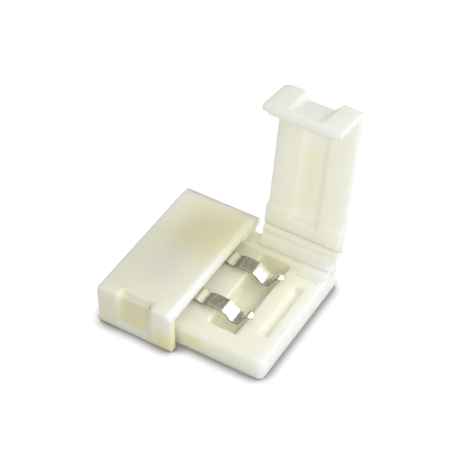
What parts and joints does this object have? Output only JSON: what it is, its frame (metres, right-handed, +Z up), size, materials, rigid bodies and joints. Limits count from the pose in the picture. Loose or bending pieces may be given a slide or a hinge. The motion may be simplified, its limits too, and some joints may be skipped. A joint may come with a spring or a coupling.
{
  "type": "led strip connector",
  "caption": "Solderless clip connector for two ends of a 10 mm LED strip, with two spring contacts and a snap lid over each end",
  "frame": {"origin": "middle of the tray's flat underside", "axes": "+X along the strip towards the open right end, +Y towards the rear edge with the hinges, +Z up from the underside"},
  "size_m": [0.0176, 0.02, 0.0204],
  "materials": {
    "tray_plastic": "satin, translucent ivory",
    "lid_plastic": "satin, translucent ivory",
    "tinned_metal": "bright tin plating"
  },
  "bodies": {
    "tray": {"tray": "tray_plastic", "front_contact": "tinned_metal", "rear_contact": "tinned_metal"},
    "left_lid": {"left_lid": "lid_plastic"},
    "right_lid": {"right_lid": "lid_plastic"}
  },
  "joints": [
    {"name": "left_lid_hinge", "type": "hinge", "parent": "tray", "child": "left_lid", "pos_m": [-0.00458, 0.00763, 0.00376], "axis": [-1, 0, 0], "range_deg": [0, 170]},
    {"name": "right_lid_hinge", "type": "hinge", "parent": "tray", "child": "right_lid", "pos_m": [0.00458, 0.00763, 0.00376], "axis": [-1, 0, 0], "range_deg": [-100, 70]}
  ]
}
